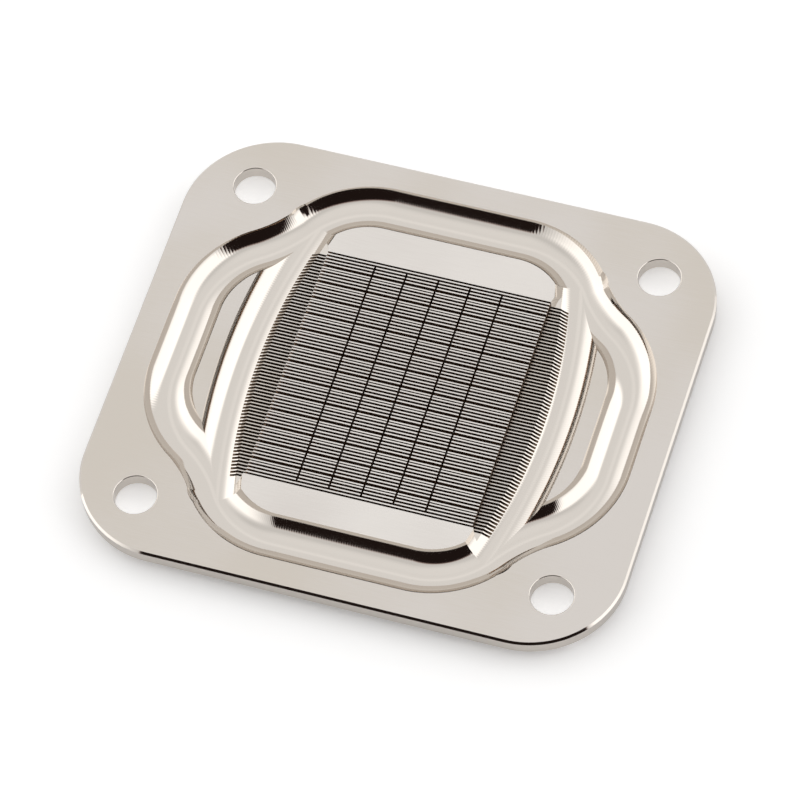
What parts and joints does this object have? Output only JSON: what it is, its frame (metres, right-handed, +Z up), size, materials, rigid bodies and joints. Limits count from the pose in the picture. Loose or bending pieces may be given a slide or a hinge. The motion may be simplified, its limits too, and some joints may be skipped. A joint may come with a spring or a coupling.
{
  "type": "cpu water block cold plate",
  "caption": "Flat metal plate with sawn cooling fins in the middle, a round-bottomed coolant channel looping around them and a screw hole near each corner.",
  "frame": {"origin": "middle of the contact face, the flat underside that presses on the processor", "axes": "+Z up from the contact face towards the finned side, +X along the fins and the longer side of the plate, +Y across the fins"},
  "size_m": [0.0654, 0.0582, 0.0032],
  "materials": {
    "nickel": "nickel plated copper, fine ground flats and smooth ball-milled channels"
  },
  "bodies": {
    "root": {"cold_plate": "nickel"}
  },
  "joints": []
}
